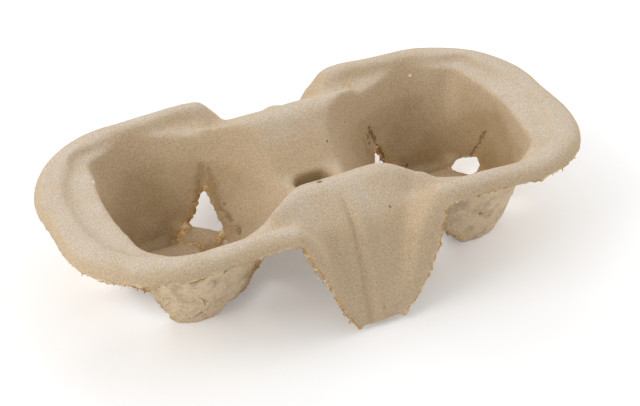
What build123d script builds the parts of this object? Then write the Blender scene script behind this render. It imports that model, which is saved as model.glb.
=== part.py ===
"""Two-cup carrier tray, moulded in one piece from paper pulp.

The tray is one thin sheet of even wall. It is made the way its mould is made: one solid stands for
everything below the smooth top face, a second for everything below the rough underside, and the
sheet is what lies between them. X runs along the tray, Y across it, Z up; the origin is the middle
of the footprint, at the height of the feet. Millimetres.
"""
import os
from math import cos, pi, radians, sin, sqrt, tan

from build123d import *

# sheet
wall = 2.2

# rim, measured on the outside
rim_length = 212.8
rim_width = 101.2
rim_corner = 40.0
crest_height = 48.0
crest_droop = 5.0
crest_radius = 4.9
crest_inner_radius = 3.2
skirt_drop = 6.6

# deck: the end lands and the two humps lie at this height, inside the raised rim
deck_height = 42.0
basin_length = 190.0
basin_width = 80.0
basin_corner = 34.0
basin_draft = 32.0
basin_edge_radius = 2.5

# cup pockets: reaches from the pocket's own axis at its floor, and how fast they open upwards
pocket_pitch = 120.0
floor_height = 7.0
reach_in = 30.0
reach_end = 20.0
reach_side = 26.6
open_in = 0.745
open_end = 0.106
open_side = 0.394
pocket_squareness = 2.3
hump_squareness = 1.45
end_squareness = 1.9
pocket_points = 16

# ends of the humps: how far out at the mouth's height, and how they lean
mouth_height = 46.0
hump_end = 31.5
hump_end_lean = 0.8

# feet: deeper lobes of the pocket towards both sides and towards the tray's middle
foot_width = 19.0
foot_flare = 0.55
foot_start = 15.5
foot_corner = 3.5
sole_inset = 2.2
sole_rise = 2.6

# tear openings, seen from the pocket's axis: towards the side foot or the tray's end, and height
left_inner_angle = 46.0
right_inner_angle = 53.0
right_inner_height = 0.78
inner_start = 18.0
inner_tear = ((6.9, 4.5), (4.6, 5.8), (-9.8, 6.2), (-8.9, 8.0), (-4.6, 13.0), (-1.4, 18.5),
              (-0.7, 21.6), (0.5, 21.2), (1.0, 16.5), (1.9, 11.6), (4.4, 7.6))
outer_angle = 141.0
outer_start = 15.0
outer_tear = ((-8.5, 1.0), (6.2, 1.0), (5.9, 5.0), (4.6, 10.8), (3.6, 10.4), (0.5, 8.6),
              (-4.4, 6.4))
front_left_tear = ((-10.7, 1.0), (13.5, 1.0), (13.5, 6.8), (10.8, 10.2), (8.0, 14.5), (3.0, 19.0),
                   (-3.0, 22.5), (-5.2, 18.8), (-6.8, 15.2), (-8.0, 11.5), (-10.4, 5.5))

# middle of the tray, as a section across it: a trough between two humps, and the tongues' faces
trough_height = 31.0
trough_flat = 10.0
trough_slope = 0.95
ridge_y = 25.1
trough_radius = 5.0
ridge_radius = 8.0
hump_slope = 0.704
shoulder_radius = 12.0
recess_length = 17.6
recess_width = 10.6
recess_depth = 13.0
recess_corner = 5.0
recess_draft = 8.0
recess_radius = 2.0

# tongues: the flaps that fall from the humps to the ground, and the chutes between the rim ends
tongue_crest = 81.0
tongue_rake = 0.445
tongue_spread = 0.18
chute_side = ((33.0, 54.0), (18.0, 35.5), (14.5, 19.0), (5.0, 2.0))
chute_radius = 8.0
near_edge = ((29.5, 41.0), (24.3, 29.0), (20.0, 22.0), (16.8, 12.0), (9.4, 1.4))
far_edge = ((30.5, 41.0), (27.0, 25.0), (23.4, 17.0), (18.3, 9.0), (10.4, 1.4))

# worked out from the sizes above
above = crest_height + 12
axis_x = pocket_pitch / 2
skirt_y = rim_width / 2
skirt_bottom = crest_height - skirt_drop
core_gap = wall + 0.6


def stretch(slope):
    """Level thickness of a wall that leans by slope, for each unit of its true thickness."""
    return sqrt(1 + slope * slope)


def pocket_outline(height, gap):
    """Points round a pocket at one height: a rounded square with its own reach in each direction.

    Beside the humps it turns from square at the floor to nearly straight at the mouth, and towards
    the tray's end from round to square.
    """
    rise = height - floor_height
    inward = reach_in + open_in * rise + gap * stretch(open_in)
    endward = reach_end + open_end * rise + gap * stretch(open_end)
    sideways = reach_side + open_side * rise + gap * stretch(open_side)
    flatten = rise / (mouth_height - floor_height)
    points = []
    for step in range(pocket_points):
        angle = 2 * pi * step / pocket_points
        along, across = cos(angle), sin(angle)
        if along > 0:
            reach = inward
            power = pocket_squareness + flatten * (hump_squareness - pocket_squareness)
        else:
            reach = endward
            power = end_squareness + flatten * (pocket_squareness - end_squareness)
        size = abs(along / reach) ** power + abs(across / sideways) ** power
        radius = size ** (-1 / power)
        points.append((radius * along - axis_x, radius * across))
    return points


def pocket_floor(gap):
    """Limits the pocket from below: its raised floor, and the three feet that go deeper."""
    with BuildPart() as limits:
        for turn in (0, 90, 270):
            toward = (cos(radians(turn)), sin(radians(turn)), 0)
            for rise, inset in ((wall, sole_inset), (wall + sole_rise, 0), (floor_height, 0)):
                height = rise - gap
                half = foot_width / 2 + foot_flare * height - (wall - gap) * stretch(foot_flare)
                half -= inset
                start = foot_start + foot_width / 2 - half
                spot = Plane(origin=(-axis_x, 0, height), x_dir=toward, z_dir=(0, 0, 1))
                with BuildSketch(spot):
                    with Locations((start + axis_x / 2, 0)):
                        RectangleRounded(axis_x, 2 * half, foot_corner)
            loft(ruled=True)
        with BuildSketch(Plane.XY.offset(floor_height - gap)):
            with Locations((-axis_x, 0)):
                Rectangle(3 * axis_x, 3 * axis_x)
        extrude(amount=above)
    return limits.part


def pocket(gap):
    """The left pocket as a solid: its hollow when gap is 0, its outside when gap is the wall."""
    floor_limits = pocket_floor(gap)
    with BuildPart() as body:
        for height in (wall - gap, mouth_height, above):
            with BuildSketch(Plane.XY.offset(height)):
                with BuildLine():
                    Spline(*pocket_outline(height, gap), periodic=True)
                make_face()
        loft(ruled=True)
        add(floor_limits, mode=Mode.INTERSECT)
    return body.part


def basin(gap):
    """Space inside the raised rim, above the deck."""
    grow = gap * (1 / cos(radians(basin_draft)) - tan(radians(basin_draft)))
    with BuildPart() as space:
        with BuildSketch(Plane.XY.offset(deck_height - gap)):
            RectangleRounded(basin_length + 2 * grow, basin_width + 2 * grow, basin_corner + grow)
        extrude(amount=above - deck_height, taper=-basin_draft)
        fillet(space.faces().sort_by(Axis.Z)[0].edges(), basin_edge_radius + gap)
    return space.part


def rim_block(gap):
    """The rim and deck as a solid block, with its crest bowed down towards the ends."""
    middle = crest_height - gap
    end = middle - crest_droop
    with BuildPart() as block:
        with BuildSketch(Plane.XY.offset(-1 - gap)):
            RectangleRounded(rim_length - 2 * gap, rim_width - 2 * gap, rim_corner - gap)
        extrude(amount=above)
        with BuildSketch(Plane.XZ):
            with BuildLine():
                ThreePointArc((-rim_length / 2, end), (0, middle), (rim_length / 2, end))
                Polyline((rim_length / 2, end), (rim_length / 2, -9), (-rim_length / 2, -9),
                         (-rim_length / 2, end))
            make_face()
        extrude(amount=rim_width, both=True, mode=Mode.INTERSECT)
        fillet(block.faces().sort_by(Axis.Z)[-1].edges(), crest_radius - gap)
        add(basin(gap), mode=Mode.SUBTRACT)
        crest = block.faces().sort_by(Axis.Z)[-1]
        fillet(crest.inner_wires()[0].edges(), crest_inner_radius - gap)
    return block.part


def flap_block(gap):
    """Wedge that carries the two tongues: its faces spread towards the ground."""
    foot_y = skirt_y + (skirt_bottom + 2) * tongue_spread - gap
    with BuildPart() as wedge:
        with BuildSketch(Plane.YZ):
            Polygon((-skirt_y + gap, skirt_bottom), (-foot_y, -2), (foot_y, -2),
                    (skirt_y - gap, skirt_bottom), align=None)
        extrude(amount=far_edge[0][0] + 3, both=True)
    return wedge.part


def chutes(gap):
    """Space between the rim ends, right across the tray."""
    corners = [(-x, z) for x, z in chute_side] + [(x, z) for x, z in reversed(chute_side)]
    with BuildPart() as space:
        with BuildSketch(Plane.XZ) as section:
            Polygon(*corners, align=None)
            fillet(section.vertices().group_by(Axis.Y)[1:3], chute_radius)
            if gap > 0:
                offset(amount=gap)
        extrude(amount=rim_width, both=True)
        with BuildSketch(Plane.XY.offset(-9)):
            Rectangle(2 * hump_end - 8, tongue_crest - 9)
        extrude(amount=2 * above)
    return space.part


def saddle(gap):
    """The tray's middle as a solid: trough, humps and the faces of the two tongues."""
    foot_y = tongue_crest / 2 + (deck_height + 6) * tongue_rake
    trough_side = trough_flat / 2
    ridge_z = trough_height + trough_slope * (ridge_y - trough_side)
    # where the hump's outer slope meets the tongue's face
    run = (ridge_z - deck_height + hump_slope * (ridge_y - tongue_crest / 2)) / (
        1 - hump_slope * tongue_rake)
    shoulder_y = tongue_crest / 2 - run * tongue_rake
    shoulder_z = deck_height + run
    end = hump_end - gap * stretch(hump_end_lean)
    low = end + hump_end_lean * (mouth_height + 9)
    high = end - hump_end_lean * (above - mouth_height)
    with BuildPart() as body:
        with BuildSketch(Plane.YZ) as section:
            with BuildLine():
                Polyline((0, -6), (0, trough_height), (trough_side, trough_height),
                         (ridge_y, ridge_z), (shoulder_y, shoulder_z), (foot_y, -6), (0, -6))
            make_face()
            fillet(section.vertices().sort_by_distance((trough_side, trough_height))[0],
                   trough_radius)
            fillet(section.vertices().sort_by_distance((ridge_y, ridge_z))[0], ridge_radius)
            fillet(section.vertices().sort_by_distance((shoulder_y, shoulder_z))[0],
                   shoulder_radius)
            mirror(about=Plane.YZ)
            if gap > 0:
                offset(amount=-gap)
        extrude(amount=rim_length / 2, both=True)
        with BuildSketch(Plane.XZ):
            Polygon((-low, -9), (-high, above), (high, above), (low, -9), align=None)
        extrude(amount=rim_width, both=True, mode=Mode.INTERSECT)
    return body.part


def recess(gap):
    """Pit in the saddle."""
    with BuildPart() as space:
        with BuildSketch(Plane.XY.offset(trough_height + 3)):
            RectangleRounded(recess_length + 2 * gap, recess_width + 2 * gap,
                             recess_corner + gap)
        extrude(amount=-(recess_depth + 3 + gap), taper=recess_draft)
        fillet(space.faces().sort_by(Axis.Z)[0].edges(), recess_radius + gap)
    return space.part


def mould(gap):
    """Everything below one face of the sheet: the top face when gap is 0, else the underside."""
    left_pocket = pocket(gap)
    with BuildPart() as form:
        add(rim_block(gap))
        add(flap_block(gap))
        add(chutes(gap), mode=Mode.SUBTRACT)
        add(saddle(gap))
        add(recess(gap), mode=Mode.SUBTRACT)
        add(left_pocket, mode=Mode.SUBTRACT)
        mirror(left_pocket, about=Plane.YZ, mode=Mode.SUBTRACT)
    return form.part


def trim():
    """What the trimming leaves: the core, the rim above its torn edge, and the two tongues."""
    end = skirt_bottom - crest_droop
    edge = [(-x, z) for x, z in near_edge] + [(x, z) for x, z in reversed(far_edge)]
    with BuildPart() as front_tongue:
        with BuildSketch(Plane.XZ):
            Polygon(*edge, (far_edge[0][0], skirt_bottom + 2),
                    (-near_edge[0][0], skirt_bottom + 2), align=None)
        extrude(amount=rim_width)
    with BuildPart() as kept:
        with BuildSketch(Plane.XY.offset(-3)):
            RectangleRounded(rim_length - 2 * core_gap, rim_width - 2 * core_gap,
                             rim_corner - core_gap)
        extrude(amount=2 * above)
        with BuildSketch(Plane.XZ):
            with BuildLine():
                ThreePointArc((-rim_length / 2 - 1, end), (0, skirt_bottom),
                              (rim_length / 2 + 1, end))
                Polyline((rim_length / 2 + 1, end), (rim_length / 2 + 1, above),
                         (-rim_length / 2 - 1, above), (-rim_length / 2 - 1, end))
            make_face()
        extrude(amount=rim_width, both=True)
        add(front_tongue.part)
        add(Rot(0, 0, 180) * front_tongue.part)
    return kept.part


def tear(edge, angle, start):
    """Cutter for one tear opening of the left pocket, behind the tray's middle line."""
    toward = (cos(radians(angle)), sin(radians(angle)), 0)
    origin = Vector(-axis_x, 0, 0) + start * Vector(*toward)
    with BuildPart() as cutter:
        with BuildSketch(Plane(origin=origin, x_dir=(-toward[1], toward[0], 0), z_dir=toward)):
            Polygon(*edge, align=None)
        extrude(amount=52 - start)
    return cutter.part


sheet_top = mould(0)
sheet_under = mould(wall)
kept = trim()
left_inner = tear(inner_tear, left_inner_angle, inner_start)
lower_tear = [(x, z * right_inner_height) for x, z in inner_tear]
right_inner = tear(lower_tear, right_inner_angle, inner_start).mirror(Plane.YZ)
left_outer = tear(outer_tear, outer_angle, outer_start)
right_outer = left_outer.mirror(Plane.YZ)
front_left = tear(front_left_tear, outer_angle, outer_start).mirror(Plane.XZ)

with BuildPart() as cup_carrier:
    add(sheet_top)
    add(sheet_under, mode=Mode.SUBTRACT)
    add(kept, mode=Mode.INTERSECT)
    for cutter in (left_inner, right_inner, right_outer):
        add(cutter, mode=Mode.SUBTRACT)
        mirror(cutter, about=Plane.XZ, mode=Mode.SUBTRACT)
    add(left_outer, mode=Mode.SUBTRACT)
    add(front_left, mode=Mode.SUBTRACT)

cup_carrier.part.label = "cup_carrier"
os.makedirs("parts", exist_ok=True)
export_step(cup_carrier.part, "parts/cup_carrier.step")
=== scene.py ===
"""Looks of a moulded-pulp tray for two cups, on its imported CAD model. Everything is in metres.

The tray is one sheet of pulp. Its mesh is a fine copy of the CAD sheet, gently uneven, with ragged
torn edges, and loose fibres stand out of those edges.
"""
import random
from math import cos, exp, pi, radians, sin

import bmesh
import bpy
from bpy.props import FloatProperty, FloatVectorProperty, IntProperty, PointerProperty
from mathutils import Matrix, Vector, noise
from mathutils.bvhtree import BVHTree


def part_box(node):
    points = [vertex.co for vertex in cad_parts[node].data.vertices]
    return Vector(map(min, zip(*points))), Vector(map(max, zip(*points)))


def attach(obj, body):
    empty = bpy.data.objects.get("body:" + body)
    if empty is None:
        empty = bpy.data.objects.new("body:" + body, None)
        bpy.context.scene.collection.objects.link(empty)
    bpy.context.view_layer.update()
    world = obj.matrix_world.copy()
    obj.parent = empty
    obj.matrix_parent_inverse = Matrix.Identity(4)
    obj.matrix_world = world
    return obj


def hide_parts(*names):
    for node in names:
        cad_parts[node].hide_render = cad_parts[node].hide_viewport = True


bl_info = {
    "name": "Pulp Cup Tray",
    "version": (1, 0, 0),
    "blender": (4, 5, 0),
    "location": "View3D > Sidebar > Cup Tray",
    "description": "Dresses a moulded-pulp tray for two cups with an uneven sheet and torn edges",
    "category": "Object",
}

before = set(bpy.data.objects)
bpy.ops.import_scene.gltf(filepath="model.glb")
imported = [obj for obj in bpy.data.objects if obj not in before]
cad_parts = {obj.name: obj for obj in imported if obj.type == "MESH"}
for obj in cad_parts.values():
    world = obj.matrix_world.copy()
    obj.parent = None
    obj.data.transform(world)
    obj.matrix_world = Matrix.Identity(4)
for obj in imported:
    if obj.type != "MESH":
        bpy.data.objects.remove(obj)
TRAY_NODE = "cup_carrier"
LOWEST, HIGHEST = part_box(TRAY_NODE)
MM = 0.001
SHARP_CREASE = radians(35)

# masks of the sheet's mesh, each from 0 to 1, which its material reads by name
MASKS = ("torn", "underside", "sky", "scuffed")
UNDERSIDE_SKY = 0.6
TORN_BELOW = (41.5 * MM, 43 * MM)  # the torn marks fade out between these heights
FAR_FROM_EDGE = 8 * MM
FEET_HEIGHT = 1.5 * MM  # nothing is softened, and no fibre grows, below this

# regions around the saddle and its two tongues, measured from the middle of the tray
SADDLE_HALF_DEPTH = 37 * MM
TONGUE_HALF_WIDTH = 33 * MM
FOLD_HALF_WIDTH = 20 * MM
FOLD_FADE = (29 * MM, 37 * MM)
CURL_START = 38 * MM
CURL_REACH = 4 * MM

PATTERNS = 7  # different fibres, and different flakes, that are copied

# end corners of the right pocket's mouth: place in millimetres, way of the push, and its size
MOUTH_CORNERS = (((80.0, 32.0), (0.75, 0.65), "back_corner"),
                 ((81.5, -27.0), (0.8, -0.6), "front_corner"))

# name, power in StageSettings, and place of each lamp
LAMPS = (("left_lamp", "left_power", (-1.1, 0.0, 0.7)),
         ("right_lamp", "right_power", (1.1, 0.0, 0.7)),
         ("back_lamp", "back_power", (0.3, 1.1, 0.7)))
LAMP_SIZE = 0.9

# cracks and scrapes beside the torn slits: start and end and width in millimetres, and strength
CRACKS = (
    ((-35.6, 27.0, 30.2), (-39.0, 24.5, 17.8), 3.4, 0.40),
    ((-36.6, 26.6, 27.0), (-38.4, 24.8, 19.0), 1.1, 0.75),
    ((-39.0, 24.5, 17.8), (-49.1, 20.6, 7.0), 1.6, 0.70),
    ((-33.6, 24.6, 28.8), (-32.4, 17.8, 15.1), 3.4, 0.40),
    ((-33.0, 23.2, 26.0), (-32.4, 18.8, 17.0), 1.0, 0.70),
    ((-32.1, 17.8, 15.1), (-28.8, 6.3, 10.0), 1.6, 0.60),
    ((-29.6, 8.6, 11.0), (-28.8, 5.3, 9.0), 1.8, 0.75),
    ((37.6, 27.5, 27.2), (40.8, 26.1, 19.5), 1.3, 1.00),
    ((40.8, 26.1, 19.5), (44.3, 24.8, 11.5), 1.2, 0.95),
    ((35.8, 25.9, 26.3), (37.7, 24.6, 17.0), 1.2, 0.85),
    ((33.6, 24.4, 24.0), (34.4, 22.6, 12.0), 2.8, 0.35),
    ((81.3, 8.0, 24.4), (77.8, 12.7, 9.8), 1.1, 0.85),
    ((77.8, 12.7, 9.8), (74.5, 15.5, 7.0), 1.0, 0.80),
    ((-72.0, -50.2, 39.2), (-62.6, -50.6, 39.9), 0.8, 0.60),
    ((-61.8, -32.9, 17.8), (-58.1, -30.2, 10.3), 0.6, 0.80),
    ((-63.8, -26.6, 3.0), (-58.5, -28.7, 6.6), 0.8, 0.80),
    ((-58.5, -28.7, 6.6), (-50.5, -27.9, 7.5), 0.7, 0.75),
    ((-77.8, -21.9, 18.3), (-72.4, -23.7, 7.3), 0.7, 0.70),
)


class TraySizes(bpy.types.PropertyGroup):
    """Sizes of the sheet's surface and of its torn edges"""

    cell: FloatProperty(name="Cell", description="Size of the fine mesh's cells",
                        default=1.04 * MM, min=0.5 * MM, unit="LENGTH")
    wall: FloatProperty(name="Wall", description="Thickness of the pulp sheet",
                        default=2.2 * MM, unit="LENGTH")
    crease_rounds: IntProperty(name="Crease rounds", default=2, min=0,
                               description="How often every crease is softened")
    tongue_rounds: IntProperty(name="Tongue rounds", default=19, min=0,
                               description="How often the tongues' creases are softened further")
    hump_rounds: IntProperty(name="Hump rounds", default=10, min=0,
                             description="How often the humps' creases are softened further")
    back_corner: FloatProperty(name="Back corner", default=3.0 * MM, unit="LENGTH",
                               description="Push of the mouths' back end corners")
    front_corner: FloatProperty(name="Front corner", default=1.4 * MM, unit="LENGTH",
                                description="Push of the mouths' front end corners")
    wave: FloatProperty(name="Wave", description="Height of the sheet's slow unevenness",
                        default=0.5 * MM, unit="LENGTH")
    wave_size: FloatProperty(name="Wave size", description="Distance between slow waves",
                             default=22 * MM, unit="LENGTH")
    dimple: FloatProperty(name="Dimple", description="Height of the underside's lumps",
                          default=0.4 * MM, unit="LENGTH")
    dimple_size: FloatProperty(name="Dimple size", description="Distance between those lumps",
                               default=3.6 * MM, unit="LENGTH")
    fold: FloatProperty(name="Fold", description="Depth of the fold down each tongue",
                        default=1.3 * MM, unit="LENGTH")
    lip: FloatProperty(name="Lip", description="How far the tongues' edges curl outwards",
                       default=1.2 * MM, unit="LENGTH")
    dent: FloatProperty(name="Dent", description="Depth of the dent beside a hump",
                        default=2.6 * MM, unit="LENGTH")
    rag: FloatProperty(name="Rag", description="How far the torn edges run in and out",
                       default=1.1 * MM, unit="LENGTH")
    rag_size: FloatProperty(name="Rag size", description="Distance between the edge's nicks",
                            default=2.4 * MM, unit="LENGTH")


class FibreSizes(bpy.types.PropertyGroup):
    """Number and size of the loose fibres and flakes on the torn edges"""

    count: IntProperty(name="Count", description="Number of loose fibres", default=1300, min=0)
    length: FloatProperty(name="Length", description="Length of a long fibre",
                          default=0.75 * MM, unit="LENGTH")
    thickness: FloatProperty(name="Thickness", description="Thickness of a fibre at its root",
                             default=0.14 * MM, unit="LENGTH")
    flakes: IntProperty(name="Flakes", description="Number of flakes that peel off the edges",
                        default=420, min=0)
    flake_length: FloatProperty(name="Flake length", description="Length of a large flake",
                                default=2.0 * MM, unit="LENGTH")


class PulpColours(bpy.types.PropertyGroup):
    """Colours of the pulp, as the eye sees them in plain light, with a painted highlight, a
    painted shade and a partly painted underside among them
    """

    # Pale colour put where the sheet sees much sky: a painted highlight.
    painted_highlight: FloatVectorProperty(name="Worn face", description="Pale face where hands rub it",
                              subtype="COLOR", size=3, default=(0.585, 0.495, 0.395))
    face: FloatVectorProperty(name="Face", description="Smooth top face", subtype="COLOR",
                              size=3, default=(0.525, 0.400, 0.262))
    # Brown colour put where the sheet sees little sky, deep in the pockets and creases: painted
    # shade.
    deep: FloatVectorProperty(name="Deep face", description="Brown face deep in the pockets",
                              subtype="COLOR", size=3, default=(0.375, 0.258, 0.130))
    # Straw colour of the underside, made brighter to stand in for light bounced from the floor and
    # from the front: partly the pulp's own colour, partly painted light.
    underside: FloatVectorProperty(name="Underside", description="Rough straw-coloured underside",
                                   subtype="COLOR", size=3, default=(0.76, 0.60, 0.41))
    torn: FloatVectorProperty(name="Torn edge", description="Fibres of a torn edge",
                              subtype="COLOR", size=3, default=(0.50, 0.295, 0.095))
    torn_pale: FloatVectorProperty(name="Pale torn edge", description="Bright fibres of an edge",
                                   subtype="COLOR", size=3, default=(0.74, 0.58, 0.37))
    crack: FloatVectorProperty(name="Crack", description="Brown inside of a crack",
                               subtype="COLOR", size=3, default=(0.25, 0.15, 0.06))
    speck: FloatVectorProperty(name="Speck", description="Dark specks in the pulp",
                               subtype="COLOR", size=3, default=(0.13, 0.09, 0.06))
    fleck: FloatVectorProperty(name="Fleck", description="White flecks in the pulp",
                               subtype="COLOR", size=3, default=(0.85, 0.81, 0.74))


class StageSettings(bpy.types.PropertyGroup):
    """Camera, lamps and floor"""

    camera_place: FloatVectorProperty(name="Camera", description="Where the camera stands",
                                      subtype="TRANSLATION", size=3,
                                      default=(-0.25166, -0.52691, 0.43986))
    camera_down: FloatProperty(name="Camera tilt", description="How far the camera looks down",
                               default=radians(35.78), subtype="ANGLE")
    camera_turn: FloatProperty(name="Camera turn", description="Turn of the camera to the right",
                               default=radians(25.78), subtype="ANGLE")
    lens: FloatProperty(name="Lens", description="Focal length of the camera in millimetres",
                        default=103.77, subtype="DISTANCE_CAMERA")
    left_power: FloatProperty(name="Left lamp", description="Power of the lamp on the left",
                              default=8.2, unit="POWER")
    right_power: FloatProperty(name="Right lamp", description="Power of the lamp on the right",
                               default=3.6, unit="POWER")
    back_power: FloatProperty(name="Back lamp", description="Power of the lamp behind",
                              default=4.2, unit="POWER")
    sky: FloatProperty(name="Sky", description="Strength of the even light from all round",
                       default=0.70)


# shader building

def feed(tree, term, socket):
    """Links an output to a socket, or sets the socket to a value; a colour has three parts."""
    if isinstance(term, bpy.types.NodeSocket):
        tree.links.new(term, socket)
    elif socket.type == "RGBA":
        socket.default_value = (*term, 1.0)
    elif term is not None:
        socket.default_value = term


def add_node(tree, kind, **settings):
    """One node with its own settings; a key that isn't the node's own is an input's name."""
    node = tree.nodes.new(kind)
    for key, value in settings.items():
        if key in node.bl_rna.properties:
            setattr(node, key, value)
        else:
            feed(tree, value, node.inputs[key.replace("_", " ").title()])
    return node


def maths(tree, operation, first, second=None, clamp=False):
    """Result of a math node; each term is a number or an output."""
    node = add_node(tree, "ShaderNodeMath", operation=operation, use_clamp=clamp)
    feed(tree, first, node.inputs[0])
    feed(tree, second, node.inputs[1])
    return node.outputs[0]


def vectors(tree, operation, first, second=None, scale=None):
    """Result of a vector math node; each term is an output, a vector, or a number for scale."""
    node = add_node(tree, "ShaderNodeVectorMath", operation=operation)
    feed(tree, first, node.inputs[0])
    feed(tree, second, node.inputs[1])
    if scale is not None:
        feed(tree, scale, node.inputs["Scale"])
    return node.outputs["Value" if operation in ("DOT_PRODUCT", "LENGTH") else "Vector"]


def blend_colour(tree, share, first, second):
    """Colour that goes from first to second as share goes from 0 to 1."""
    node = add_node(tree, "ShaderNodeMix", data_type="RGBA")
    for number, term in ((0, share), (6, first), (7, second)):
        feed(tree, term, node.inputs[number])
    return node.outputs[2]


def step_up(tree, value, low, high):
    """0 below low and 1 above high, with a smooth step between."""
    node = add_node(tree, "ShaderNodeMapRange", interpolation_type="SMOOTHSTEP", value=value,
                    from_min=low, from_max=high)
    return node.outputs["Result"]


def noise_value(tree, place, size, detail):
    """Noise from 0 to 1 whose patches lie about size metres apart."""
    node = add_node(tree, "ShaderNodeTexNoise", vector=place, scale=1.0 / size, detail=detail)
    return node.outputs["Fac"]


def warped(tree, place, scale, detail, reach, middle=0.0):
    """A place moved each way by noise less middle, times reach in metres."""
    bend = add_node(tree, "ShaderNodeTexNoise", vector=place, scale=scale, detail=detail)
    shift = vectors(tree, "SUBTRACT", bend.outputs["Color"], (middle,) * 3)
    return vectors(tree, "ADD", place, vectors(tree, "SCALE", shift, scale=reach))


def new_group(name, inputs, outputs):
    """An empty shader node group with its own inputs and outputs."""
    group = bpy.data.node_groups.new(name, "ShaderNodeTree")
    for label, kind, value in inputs:
        socket = group.interface.new_socket(label, in_out="INPUT", socket_type=kind)
        if value is not None:
            socket.default_value = value
    for label, kind in outputs:
        group.interface.new_socket(label, in_out="OUTPUT", socket_type=kind)
    return group, group.nodes.new("NodeGroupInput"), group.nodes.new("NodeGroupOutput")


def speck_group():
    """Sparse round specks: a mask that is 1 in a speck."""
    group, given, made = new_group(
        "pulp_specks",
        [("Place", "NodeSocketVector", None), ("Spacing", "NodeSocketFloat", 3.0 * MM),
         ("Size", "NodeSocketFloat", 0.12), ("Share", "NodeSocketFloat", 0.3)],
        [("Mask", "NodeSocketFloat")])
    cells = add_node(group, "ShaderNodeTexVoronoi", feature="F1", vector=given.outputs["Place"],
                     scale=maths(group, "DIVIDE", 1.0, given.outputs["Spacing"]))
    split = add_node(group, "ShaderNodeSeparateColor")
    feed(group, cells.outputs["Color"], split.inputs["Color"])
    chosen = maths(group, "LESS_THAN", split.outputs["Red"], given.outputs["Share"])
    own_size = maths(group, "MULTIPLY", given.outputs["Size"],
                     maths(group, "ADD", 0.4, split.outputs["Green"]))
    inside = maths(group, "SUBTRACT", 1.0,
                   maths(group, "DIVIDE", cells.outputs["Distance"], own_size), clamp=True)
    feed(group, maths(group, "MULTIPLY", chosen, inside, clamp=True), made.inputs["Mask"])
    return group


def felt_group():
    """Felted fibres: a mottle of 0 to 1, and a height for bump."""
    group, given, made = new_group(
        "pulp_felt",
        [("Place", "NodeSocketVector", None), ("Fibre", "NodeSocketFloat", 0.6 * MM)],
        [("Mottle", "NodeSocketFloat"), ("Height", "NodeSocketFloat")])
    place, fibre = given.outputs["Place"], given.outputs["Fibre"]
    per_metre = maths(group, "DIVIDE", 1.0, fibre)
    bent = warped(group, place, maths(group, "MULTIPLY", per_metre, 0.45), 1.0,
                  maths(group, "MULTIPLY", fibre, 2.2))
    strands = add_node(group, "ShaderNodeTexNoise", noise_type="RIDGED_MULTIFRACTAL", vector=bent,
                       scale=maths(group, "MULTIPLY", per_metre, 0.6), detail=3.0)
    grain = add_node(group, "ShaderNodeTexNoise", vector=place, scale=per_metre, detail=3.0,
                     roughness=0.7)
    strand = maths(group, "MULTIPLY", strands.outputs["Fac"], 0.12, clamp=True)
    felt = maths(group, "ADD", maths(group, "MULTIPLY", grain.outputs["Fac"], 0.88), strand)
    feed(group, grain.outputs["Fac"], made.inputs["Mottle"])
    feed(group, felt, made.inputs["Height"])
    return group


def crack_group():
    """A thin ragged crack from Start to End that narrows to both ends: 1 in its middle."""
    group, given, made = new_group(
        "pulp_crack",
        [("Place", "NodeSocketVector", None), ("Start", "NodeSocketVector", None),
         ("End", "NodeSocketVector", None), ("Width", "NodeSocketFloat", 1.0 * MM)],
        [("Mask", "NodeSocketFloat")])
    place = warped(group, given.outputs["Place"], 1.0 / (2.2 * MM), 3.0, 3.6 * MM, middle=0.5)
    from_start = vectors(group, "SUBTRACT", place, given.outputs["Start"])
    whole = vectors(group, "SUBTRACT", given.outputs["End"], given.outputs["Start"])
    along = maths(group, "DIVIDE", vectors(group, "DOT_PRODUCT", from_start, whole),
                  vectors(group, "DOT_PRODUCT", whole, whole), clamp=True)
    reached = vectors(group, "SCALE", whole, scale=along)
    away = vectors(group, "LENGTH", vectors(group, "SUBTRACT", from_start, reached))
    off_middle = maths(group, "ABSOLUTE", maths(group, "SUBTRACT", along, 0.5))
    own_width = maths(group, "MULTIPLY", given.outputs["Width"],
                      maths(group, "SUBTRACT", 1.0, off_middle))
    inside = maths(group, "SUBTRACT", 1.0, maths(group, "DIVIDE", away, own_width), clamp=True)
    feed(group, maths(group, "MULTIPLY", inside, 1.6, clamp=True), made.inputs["Mask"])
    return group


def use_group(tree, group, **values):
    """A group placed in a material, with its inputs set by name."""
    node = add_node(tree, "ShaderNodeGroup", node_tree=group)
    for name, value in values.items():
        feed(tree, value, node.inputs[name.title()])
    return node


def named_mask(tree, name):
    """Mask that the sheet's mesh holds under a name."""
    return add_node(tree, "ShaderNodeAttribute", attribute_name=name).outputs["Fac"]


def new_material(name):
    """A material with its node tree and its shader."""
    material = bpy.data.materials.new(name)
    material.use_nodes = True
    return material, material.node_tree, material.node_tree.nodes["Principled BSDF"]


def add_bump(tree, height, shader, strength, distance):
    """Gives a matt shader the relief of a height."""
    bump = add_node(tree, "ShaderNodeBump", strength=strength, distance=distance)
    feed(tree, height, bump.inputs["Height"])
    feed(tree, bump.outputs["Normal"], shader.inputs["Normal"])
    shader.inputs["Specular IOR Level"].default_value = 0.25


def body_colour(tree, place, sky, under, colours):
    """Colour of the whole sheet: brown painted shade where it sees little sky, a pale painted
    highlight where it sees much, straw below, which is partly painted light.
    """
    # painted shade and painted highlight: the sky share, which is light, picks the brown, face or
    # pale colour, with random patches of tone
    patches = maths(tree, "SUBTRACT", noise_value(tree, place, 14 * MM, 3.0), 0.5)
    uneven = maths(tree, "ADD", sky, maths(tree, "MULTIPLY", patches, 0.35))
    face = blend_colour(tree, step_up(tree, uneven, 0.15, 0.60), colours.deep, colours.face)
    face = blend_colour(tree, step_up(tree, uneven, 0.72, 1.12), face, colours.painted_highlight)
    # the underside colour is partly painted light, brightened for floor bounce and front light
    below = blend_colour(tree, step_up(tree, noise_value(tree, place, 6 * MM, 3.0), 0.45, 0.8),
                         colours.underside, colours.face)
    return blend_colour(tree, under, face, below)


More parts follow.
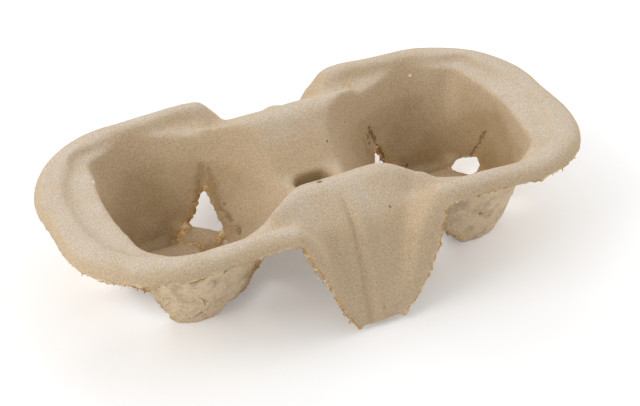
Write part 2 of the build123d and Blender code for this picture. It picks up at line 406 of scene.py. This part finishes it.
def crack_mask(tree, place, under):
    """1 in the listed cracks, and weaker in a broken web of cracks on the underside."""
    group, lines = crack_group(), 0.0
    for start, end, width, strength in CRACKS:
        line = use_group(tree, group, place=place, start=Vector(start) * MM,
                         end=Vector(end) * MM, width=width * MM).outputs[0]
        lines = maths(tree, "MAXIMUM", lines, maths(tree, "MULTIPLY", line, strength))
    web = add_node(tree, "ShaderNodeTexVoronoi", feature="DISTANCE_TO_EDGE",
                   vector=warped(tree, place, 1.0 / (5.0 * MM), 2.0, 7 * MM),
                   scale=1.0 / (9.0 * MM))
    gap = maths(tree, "SUBTRACT", 1.0, step_up(tree, web.outputs["Distance"], 0.0, 0.028))
    broken = step_up(tree, noise_value(tree, place, 8 * MM, 1.0), 0.50, 0.64)
    gap = maths(tree, "MULTIPLY", under, maths(tree, "MULTIPLY", gap, broken))
    return maths(tree, "MAXIMUM", lines, maths(tree, "MULTIPLY", gap, 0.35))


def speckled(tree, place, surface, colours):
    """A colour with dark specks and a few white flecks in it."""
    specks = speck_group()
    small = use_group(tree, specks, place=place, spacing=1.9 * MM, size=0.17, share=0.30)
    large = use_group(tree, specks, place=place, spacing=11 * MM, size=0.11, share=0.36)
    dark = maths(tree, "MAXIMUM", maths(tree, "MULTIPLY", small.outputs[0], 0.5),
                 maths(tree, "MULTIPLY", large.outputs[0], 2.0, clamp=True))
    surface = blend_colour(tree, maths(tree, "MULTIPLY", dark, 0.85), surface, colours.speck)
    elsewhere = vectors(tree, "ADD", place, (0.31, 0.17, 0.23))
    pale = use_group(tree, specks, place=elsewhere, spacing=12 * MM, size=0.095, share=0.16)
    white = maths(tree, "MULTIPLY", pale.outputs[0], 1.5, clamp=True)
    return blend_colour(tree, white, surface, colours.fleck)


def pulp_material(colours):
    """Felted pulp: pale painted highlight where open to the sky, brown painted shade deep down,
    straw underneath that is partly painted light, ochre where torn.
    """
    material, tree, shader = new_material("pulp")
    place = add_node(tree, "ShaderNodeTexCoord").outputs["Object"]
    torn, under, sky, scuffed = [named_mask(tree, name) for name in MASKS]
    felt = felt_group()
    fine = use_group(tree, felt, place=place, fibre=0.55 * MM)
    coarse = use_group(tree, felt, place=place, fibre=2.1 * MM)

    body = body_colour(tree, place, sky, under, colours)
    brown = maths(tree, "MULTIPLY", scuffed,
                  step_up(tree, coarse.outputs["Mottle"], 0.30, 0.62))
    body = blend_colour(tree, maths(tree, "MULTIPLY", brown, 0.6), body, colours.torn)
    mottle = step_up(tree, fine.outputs["Mottle"], 0.30, 0.70)
    shade = maths(tree, "ADD", 0.80, maths(tree, "MULTIPLY", mottle, 0.40))
    shaded = vectors(tree, "SCALE", body, scale=shade)
    fibres = step_up(tree, coarse.outputs["Mottle"], 0.47, 0.58)
    edge = blend_colour(tree, fibres, colours.torn, colours.torn_pale)
    surface = blend_colour(tree, torn, shaded, edge)
    crack = crack_mask(tree, place, under)
    surface = blend_colour(tree, crack, surface, colours.crack)
    feed(tree, speckled(tree, place, surface, colours), shader.inputs["Base Color"])

    rough = maths(tree, "MAXIMUM", torn, maths(tree, "MULTIPLY", under, 0.75))
    rough = maths(tree, "MAXIMUM", rough, scuffed)
    relief = maths(tree, "ADD", 0.3, maths(tree, "MULTIPLY", rough, 1.8))
    height = maths(tree, "ADD", maths(tree, "MULTIPLY", fine.outputs["Height"], 0.5),
                   maths(tree, "MULTIPLY", coarse.outputs["Height"], relief))
    height = maths(tree, "SUBTRACT", height, maths(tree, "MULTIPLY", crack, 1.3))
    add_bump(tree, height, shader, 0.8, 0.5 * MM)
    feed(tree, maths(tree, "ADD", 0.84, maths(tree, "MULTIPLY", mottle, 0.12)),
         shader.inputs["Roughness"])
    return material


def fibre_material(colours):
    """Loose fibres: ochre to pale straw, from one fibre to the next."""
    material, tree, shader = new_material("loose_fibre")
    place = add_node(tree, "ShaderNodeTexCoord").outputs["Object"]
    felt = bpy.data.node_groups.get("pulp_felt") or felt_group()
    grain = use_group(tree, felt, place=place, fibre=0.8 * MM)
    tone = step_up(tree, noise_value(tree, place, 2.5 * MM, 2.0), 0.35, 0.65)
    feed(tree, blend_colour(tree, tone, colours.torn, colours.torn_pale),
         shader.inputs["Base Color"])
    add_bump(tree, grain.outputs["Height"], shader, 0.4, 0.1 * MM)
    shader.inputs["Roughness"].default_value = 0.85
    return material


# shapes

def link_object(name, mesh, material):
    """An object of a mesh at the origin, with one material."""
    piece = bpy.data.objects.new(name, mesh)
    bpy.context.scene.collection.objects.link(piece)
    mesh.materials.clear()
    mesh.materials.append(material)
    return piece


def made_mesh(shape, name):
    """A new mesh of a bmesh, which is freed."""
    mesh = bpy.data.meshes.new(name)
    shape.to_mesh(mesh)
    shape.free()
    return mesh


def smooth_step(value, low, high):
    """0 below low and 1 above high, with a smooth step between."""
    share = min(1.0, max(0.0, (value - low) / (high - low)))
    return share * share * (3 - 2 * share)


def whole_sheet():
    """The CAD sheet as a bmesh with its loose triangles joined."""
    sheet = bmesh.new()
    sheet.from_mesh(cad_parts[TRAY_NODE].data)
    bmesh.ops.remove_doubles(sheet, verts=sheet.verts, dist=1e-6)
    sheet.normal_update()
    return sheet


def fine_copy(mesh, cell):
    """Turns a mesh into a bmesh of even small cells, with its creases a little softened."""
    rough = bpy.data.objects.new("fine_copy", mesh)
    bpy.context.scene.collection.objects.link(rough)
    remesh = rough.modifiers.new("cells", "REMESH")
    remesh.mode = "VOXEL"
    remesh.voxel_size = cell
    soften = rough.modifiers.new("soften", "SMOOTH")
    soften.factor, soften.iterations = 0.5, 3
    bpy.context.view_layer.update()
    shown = rough.evaluated_get(bpy.context.evaluated_depsgraph_get())
    even = bpy.data.meshes.new_from_object(shown)
    shape = bmesh.new()
    shape.from_mesh(even)
    bpy.data.objects.remove(rough)
    for used in (mesh, even):
        bpy.data.meshes.remove(used)
    return shape


def smooth_regions(sheet):
    """The sheet's faces in groups that sharp creases part, in the same order each run."""
    left = dict.fromkeys(sheet.faces)
    while left:
        region = dict.fromkeys([left.popitem()[0]])
        edge_of_growth = list(region)
        while edge_of_growth:
            face = edge_of_growth.pop()
            for edge in face.edges:
                if edge.calc_face_angle(pi) > SHARP_CREASE:
                    continue
                for other in edge.link_faces:
                    if other in left:
                        del left[other]
                        region[other] = None
                        edge_of_growth.append(other)
        yield region


def torn_bands(sheet, wall):
    """Tree of the torn edges: steep bands about as wide as the wall, with much pulp behind."""
    widest, level, deep, farthest = 0.65 * wall, 0.55, 1.5 * wall, 12 * MM
    tree = BVHTree.FromBMesh(sheet)
    corners, triangles = [], []
    for region in smooth_regions(sheet):
        area = sum(face.calc_area() for face in region)
        border = sum(edge.calc_length() for face in region for edge in face.edges
                     if not all(other in region for other in edge.link_faces))
        rise = sum(face.normal.z * face.calc_area() for face in region) / area
        if area > widest * border or rise > level:
            continue
        behind = 0.0
        for face in region:
            start = face.calc_center_median() - face.normal * 0.02 * MM
            depth = tree.ray_cast(start, -face.normal, farthest)[3]
            behind += face.calc_area() * (farthest if depth is None else depth)
        if behind < deep * area:
            continue
        for face in region:
            triangles.append([len(corners) + i for i in range(len(face.verts))])
            corners.extend(v.co.copy() for v in face.verts)
    return BVHTree.FromPolygons(corners, triangles)


def wavy(point, size, seed):
    """Smooth noise from about -1 to 1."""
    return noise.noise(point / size + Vector((seed, seed * 0.7, -seed)))


def sky_ways():
    """Directions of the upper half, each with its share of that half."""
    ways = []
    for height, count in ((10, 8), (30, 8), (50, 6), (70, 4), (90, 1)):
        up = radians(height)
        for i in range(count):
            turn = 2 * pi * (i + 0.5) / count
            way = Vector((cos(up) * cos(turn), cos(up) * sin(turn), sin(up)))
            ways.append((way, (cos(up) if height < 90 else 0.13) / count))
    return ways


def sky_share(tree, ways, point, normal):
    """Light from an even sky at a point, where 1 is that on open level ground."""
    start = point + normal * 0.5 * MM
    seen = level = 0.0
    for way, weight in ways:
        level += weight * way.z
        facing = normal.dot(way)
        if facing > 0.04 and tree.ray_cast(start, way)[0] is None:
            seen += weight * facing
    return seen / level


def fold_height(point, sizes):
    """Height of the fold that runs down each tongue, on the side of its top face."""
    side = -1 if point.y < 0 else 1
    fade = smooth_step(abs(point.y), *FOLD_FADE)
    aside = (point.x - 3.4 * MM * side - wavy(point, 30 * MM, 2) * 0.8 * MM) * -side
    groove = exp(-(aside / (1.25 * MM)) ** 2)
    shoulder = exp(-((aside - 3.6 * MM) / (2.6 * MM)) ** 2)
    return (0.7 * shoulder - groove) * sizes.fold * fade


def dent_depth(point, sizes):
    """Depth of the soft dent between a hump and the rim, at two opposite corners."""
    if point.z < 34 * MM:
        return 0.0
    middle = Vector((24.5, -33.5) if point.y < 0 else (-24.5, 33.5)) * MM
    return sizes.dent * exp(-((point.xy - middle).length / (6.5 * MM)) ** 2)


def mark_edges(shape, bands, layers):
    """Marks the torn edges below the rim's crest, and the scuffed pulp round the slits."""
    for v in shape.verts:
        distance = bands.find_nearest(v.co, FAR_FROM_EDGE)[3]
        distance = FAR_FROM_EDGE if distance is None else distance
        low = 1 - smooth_step(v.co.z, *TORN_BELOW)
        v[layers["torn"]] = low * (1 - smooth_step(distance, 0.5 * MM, 1.8 * MM))
        inner = 1 - smooth_step(max(abs(v.co.y), v.co.z), 29 * MM, 34 * MM)
        v[layers["scuffed"]] = inner * (1 - smooth_step(distance, 1.0 * MM, 5.0 * MM))


def mark_sky(shape, layers):
    """Marks how much sky each point sees, eased between neighbours; the material paints shade and
    highlight from it.
    """
    tree, ways, sky = BVHTree.FromBMesh(shape), sky_ways(), layers["sky"]
    for v in shape.verts:
        below = v[layers["underside"]] > 0.6
        v[sky] = UNDERSIDE_SKY if below else sky_share(tree, ways, v.co, v.normal)
    for _ in range(2):
        eased = [sum(e.other_vert(v)[sky] for e in v.link_edges) / len(v.link_edges)
                 for v in shape.verts]
        for v, share in zip(shape.verts, eased):
            v[sky] = share


def square_mouths(shape, sizes):
    """Pushes the rounded end corners of both pocket mouths out to their squarer real line."""
    for v in shape.verts:
        side = -1 if v.co.x < 0 else 1
        for corner, way, push in MOUTH_CORNERS:
            corner = Vector((corner[0] * side, corner[1])) * MM
            away = (v.co.xy - corner).length
            share = (1 - smooth_step(away, 1.5 * MM, 10.5 * MM)) * smooth_step(
                v.co.z, 14 * MM, 36 * MM)
            v.co += Vector((way[0] * side, way[1], 0)) * getattr(sizes, push) * share


def soften_creases(shape, torn, sizes):
    """Rounds the creases, and those of the tongues and humps further, but no torn edge."""
    whole = [v for v in shape.verts if v[torn] < 0.3 and v.co.z > FEET_HEIGHT]
    tongues = [v for v in whole
               if abs(v.co.x) < TONGUE_HALF_WIDTH and abs(v.co.y) > SADDLE_HALF_DEPTH]
    humps = [v for v in whole if 14 * MM < abs(v.co.x) < 46 * MM
             and abs(v.co.y) < SADDLE_HALF_DEPTH and v.co.z > 30 * MM]
    for verts, rounds in ((whole, sizes.crease_rounds), (tongues, sizes.tongue_rounds),
                          (humps, sizes.hump_rounds)):
        for _ in range(rounds):
            bmesh.ops.smooth_vert(shape, verts=verts, factor=0.5, use_axis_x=True,
                                  use_axis_y=True, use_axis_z=True)
    shape.normal_update()


def roughened(v, bands, ragged, under, sizes):
    """How a point of the sheet moves by its waves, lumps, folds and ragged edges."""
    move = Vector([wavy(v.co, sizes.wave_size, seed) for seed in (3, 11, 19)]) * sizes.wave
    lump = wavy(v.co, sizes.dimple_size, 5) + 0.6 * wavy(v.co, sizes.dimple_size / 2.3, 8)
    move += v.normal * lump * sizes.dimple * max(0.15, under) * (1 - ragged)
    move.z -= dent_depth(v.co, sizes)
    if abs(v.co.x) < TONGUE_HALF_WIDTH and abs(v.co.y) > FOLD_FADE[0]:
        outwards = Vector((0, 0.9 if v.co.y > 0 else -0.9, 0.43))
        if abs(v.co.x) < FOLD_HALF_WIDTH:
            move += outwards * fold_height(v.co, sizes)
        distance = bands.find_nearest(v.co, CURL_REACH)[3]
        if distance is not None and abs(v.co.y) > CURL_START:
            curl = 1 - smooth_step(distance, 0.0, CURL_REACH)
            move += outwards * curl * sizes.lip * (0.8 + 0.6 * wavy(v.co, 9 * MM, 14))
    if ragged > 0:
        outwards = bands.find_nearest(v.co)[1]
        nick = wavy(v.co, sizes.rag_size, 7) + 0.8 * wavy(v.co, sizes.rag_size / 2.4, 9)
        move += outwards * (nick - 0.3) * sizes.rag * ragged
    return move


def roughen(shape, bands, layers, sizes):
    """Moves the whole sheet at once, marks its underside, and holds its feet on the ground."""
    moves = []
    for v in shape.verts:
        under = smooth_step(-v.normal.z, 0.02, 0.22)
        v[layers["underside"]] = under
        moves.append(roughened(v, bands, v[layers["torn"]], under, sizes))
    for v, move in zip(shape.verts, moves):
        held = smooth_step(v.co.z, 0.0, 3 * MM)
        low_limit = LOWEST.z - v.co.z
        v.co += Vector((move.x, move.y, max(move.z * held, low_limit)))
    shape.normal_update()


class CUPTRAY_OT_tray(bpy.types.Operator):
    """Make the pulp sheet"""

    bl_idname = "cuptray.tray"
    bl_label = "Pulp tray"

    def execute(self, context):
        sizes, colours = context.scene.tray_sizes, context.scene.pulp_colours
        sheet = whole_sheet()
        bands = torn_bands(sheet, sizes.wall)
        shape = fine_copy(made_mesh(sheet, "whole_sheet"), sizes.cell)
        layers = {name: shape.verts.layers.float.new(name) for name in MASKS}
        mark_edges(shape, bands, layers)
        square_mouths(shape, sizes)
        soften_creases(shape, layers["torn"], sizes)
        roughen(shape, bands, layers, sizes)
        mark_sky(shape, layers)
        for face in shape.faces:
            face.smooth = True
        piece = link_object("pulp_tray", made_mesh(shape, "pulp_tray"), pulp_material(colours))
        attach(piece, "root")
        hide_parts(TRAY_NODE)
        return {"FINISHED"}


def strand_mesh(sizes, chance):
    """One loose fibre along +Z: a thin three-sided strand that bends and thins to its tip."""
    strand = bmesh.new()
    bmesh.ops.create_circle(strand, cap_ends=True, segments=3, radius=sizes.thickness / 2)
    tip = strand.faces[:][0]
    steps, taper = 4, 0.72
    for _ in range(steps):
        made = bmesh.ops.extrude_face_region(strand, geom=[tip])["geom"]
        ring = [g for g in made if isinstance(g, bmesh.types.BMVert)]
        tip = [g for g in made if isinstance(g, bmesh.types.BMFace)][0]
        lean = Vector((chance.uniform(-0.5, 0.5), chance.uniform(-0.5, 0.5), 1.0))
        bmesh.ops.translate(strand, verts=ring, vec=lean * sizes.length / steps)
        centre = sum((v.co for v in ring), Vector()) / len(ring)
        bmesh.ops.scale(strand, verts=ring, vec=(taper,) * 3, space=Matrix.Translation(-centre))
    bmesh.ops.recalc_face_normals(strand, faces=strand.faces)
    return made_mesh(strand, "strand")


def flake_mesh(sizes, chance):
    """One flake of torn pulp along +Z: a thin curled strip with uneven sides."""
    flake = bmesh.new()
    bmesh.ops.create_grid(flake, x_segments=2, y_segments=4, size=0.5)
    bmesh.ops.rotate(flake, verts=flake.verts, matrix=Matrix.Rotation(pi / 2, 3, "X"))
    curl, width = chance.uniform(-0.5, 0.5), chance.uniform(0.35, 0.6)
    for v in flake.verts:
        along = v.co.z + 0.5
        side = v.co.x * (width + chance.uniform(-0.15, 0.15)) * (1.1 - 0.4 * along)
        v.co = Vector((side, curl * along * along + chance.uniform(-0.04, 0.04), along))
    bmesh.ops.solidify(flake, geom=flake.faces[:], thickness=0.07)
    bmesh.ops.scale(flake, verts=flake.verts, vec=(sizes.flake_length,) * 3)
    bmesh.ops.recalc_face_normals(flake, faces=flake.faces)
    return made_mesh(flake, "flake")


def grown(chance, roots, patterns, spread, smallest):
    """One fibre or flake that stands out of the sheet at some root."""
    root = chance.choice(roots)
    side = Vector([chance.gauss(0, spread) for _ in range(3)])
    toward = (root.normal + side).normalized()
    size = chance.uniform(smallest, 1.0) * (0.55 + 0.45 * chance.random())
    turn = toward.to_track_quat("Z", "Y").to_matrix().to_4x4()
    spin = Matrix.Rotation(chance.uniform(0, 6.28), 4, "Z")
    place = Matrix.Translation(root.co - toward * 0.3 * MM)
    one = patterns[chance.randrange(len(patterns))].copy()
    one.transform(place @ turn @ spin @ Matrix.Scale(size, 4))
    return one


class CUPTRAY_OT_fibres(bpy.types.Operator):
    """Make the loose fibres and flakes of the torn edges"""

    bl_idname = "cuptray.fibres"
    bl_label = "Loose fibres"

    def execute(self, context):
        sizes, colours = context.scene.fibre_sizes, context.scene.pulp_colours
        chance = random.Random(7)
        tray = bpy.data.objects["pulp_tray"].data
        torn = tray.attributes["torn"].data
        roots = [v for v in tray.vertices if torn[v.index].value > 0.6
                 and v.co.z > LOWEST.z + FEET_HEIGHT]
        strands = [strand_mesh(sizes, chance) for _ in range(PATTERNS)]
        flakes = [flake_mesh(sizes, chance) for _ in range(PATTERNS)]
        tangle = bmesh.new()
        for patterns, count, spread, smallest, seed in (
                (strands, sizes.count, 0.8, 0.25, 31), (flakes, sizes.flakes, 1.1, 0.2, 47)):
            clump = [v for v in roots if wavy(v.co, 6 * MM, seed) > -0.05]
            for _ in range(count if clump else 0):
                one = grown(chance, clump, patterns, spread, smallest)
                tangle.from_mesh(one)
                bpy.data.meshes.remove(one)
        for v in tangle.verts:
            v.co.z = max(v.co.z, LOWEST.z)
        for face in tangle.faces:
            face.smooth = True
        for pattern in (*strands, *flakes):
            bpy.data.meshes.remove(pattern)
        mesh = made_mesh(tangle, "loose_fibres")
        piece = link_object("loose_fibres", mesh, fibre_material(colours))
        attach(piece, "root")
        return {"FINISHED"}


# stage

def area_lamp(name, power, place, aim):
    """A square lamp at a place that shines at a point."""
    lamp = bpy.data.lights.new(name, "AREA")
    lamp.energy, lamp.size = power, LAMP_SIZE
    holder = bpy.data.objects.new(name, lamp)
    bpy.context.scene.collection.objects.link(holder)
    holder.location = place
    holder.rotation_euler = (aim - Vector(place)).to_track_quat("-Z", "Y").to_euler()


def seen_by_eye(tree):
    """1 for what the camera sees, also in a mirror or through glass."""
    path = add_node(tree, "ShaderNodeLightPath")
    return maths(tree, "MAXIMUM", path.outputs["Is Camera Ray"],
                 maths(tree, "MAXIMUM", path.outputs["Is Glossy Ray"],
                       path.outputs["Is Transmission Ray"]))


def floor_material():
    """White paper floor that keeps the soft shadow and fades to plain white far out."""
    material, tree, shader = new_material("white_floor")
    shader.inputs["Base Color"].default_value = (0.83, 0.83, 0.83, 1.0)
    shader.inputs["Roughness"].default_value = 1.0
    shader.inputs["Specular IOR Level"].default_value = 0.0
    glow = add_node(tree, "ShaderNodeEmission")
    glow.inputs["Color"].default_value = (1.0, 1.0, 1.0, 1.0)
    place = add_node(tree, "ShaderNodeTexCoord").outputs["Object"]
    far = step_up(tree, vectors(tree, "LENGTH", place), 0.11, 0.30)
    lift = maths(tree, "ADD", 0.18, maths(tree, "MULTIPLY", far, 0.6))
    feed(tree, maths(tree, "MULTIPLY", seen_by_eye(tree), lift), glow.inputs["Strength"])
    both = add_node(tree, "ShaderNodeAddShader")
    feed(tree, shader.outputs[0], both.inputs[0])
    feed(tree, glow.outputs[0], both.inputs[1])
    feed(tree, both.outputs[0], tree.nodes["Material Output"].inputs["Surface"])
    return material


class CUPTRAY_OT_stage(bpy.types.Operator):
    """Make the camera, lamps and floor"""

    bl_idname = "cuptray.stage"
    bl_label = "Stage"

    def execute(self, context):
        settings = context.scene.stage_settings
        middle = (LOWEST + HIGHEST) / 2
        camera = bpy.data.cameras.new("camera")
        camera.lens, camera.sensor_width = settings.lens, 36.0
        camera.clip_start, camera.clip_end = 0.01, 20.0
        holder = bpy.data.objects.new("camera", camera)
        context.scene.collection.objects.link(holder)
        holder.location = settings.camera_place
        holder.rotation_euler = (radians(90) - settings.camera_down, 0, -settings.camera_turn)
        context.scene.camera = holder

        for name, power, place in LAMPS:
            area_lamp(name, getattr(settings, power), place, middle)

        world = bpy.data.worlds.new("studio")
        context.scene.world = world
        world.use_nodes = True
        sky = world.node_tree.nodes["Background"]
        sky.inputs["Color"].default_value = (1.0, 1.0, 1.0, 1.0)
        seen = seen_by_eye(world.node_tree)
        strength = maths(world.node_tree, "MAXIMUM", seen, settings.sky)
        feed(world.node_tree, strength, sky.inputs["Strength"])

        ground = bmesh.new()
        bmesh.ops.create_grid(ground, x_segments=1, y_segments=1, size=6.0)
        bmesh.ops.translate(ground, verts=ground.verts, vec=(0, 0, LOWEST.z - 0.02 * MM))
        link_object("floor", made_mesh(ground, "floor"), floor_material())
        context.scene.view_settings.view_transform = "Standard"
        return {"FINISHED"}


class CUPTRAY_PT_panel(bpy.types.Panel):
    """Lists the tray's pieces and their sizes"""

    bl_label = "Cup Tray"
    bl_idname = "CUPTRAY_PT_panel"
    bl_space_type = "VIEW_3D"
    bl_region_type = "UI"
    bl_category = "Cup Tray"

    def draw(self, context):
        for operator in OPERATORS:
            self.layout.operator(operator.bl_idname)
        for name in GROUPS:
            values = getattr(context.scene, name)
            box = self.layout.box()
            for key in values.__annotations__:
                box.prop(values, key)


OPERATORS = (CUPTRAY_OT_stage, CUPTRAY_OT_tray, CUPTRAY_OT_fibres)
GROUPS = {"tray_sizes": TraySizes, "fibre_sizes": FibreSizes, "pulp_colours": PulpColours,
          "stage_settings": StageSettings}


def register():
    """Makes the groups, operators and panel known, and gives the scene its settings."""
    for kind in (*GROUPS.values(), *OPERATORS, CUPTRAY_PT_panel):
        bpy.utils.register_class(kind)
    for name, kind in GROUPS.items():
        setattr(bpy.types.Scene, name, PointerProperty(type=kind))


def unregister():
    """Takes the settings, panel, operators and groups away again."""
    for name in GROUPS:
        delattr(bpy.types.Scene, name)
    for kind in reversed((*GROUPS.values(), *OPERATORS, CUPTRAY_PT_panel)):
        bpy.utils.unregister_class(kind)


def main():
    """Builds the stage and the pieces."""
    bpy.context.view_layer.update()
    register()
    bpy.ops.cuptray.stage()
    bpy.ops.cuptray.tray()
    bpy.ops.cuptray.fibres()


if __name__ == "__main__":
    main()
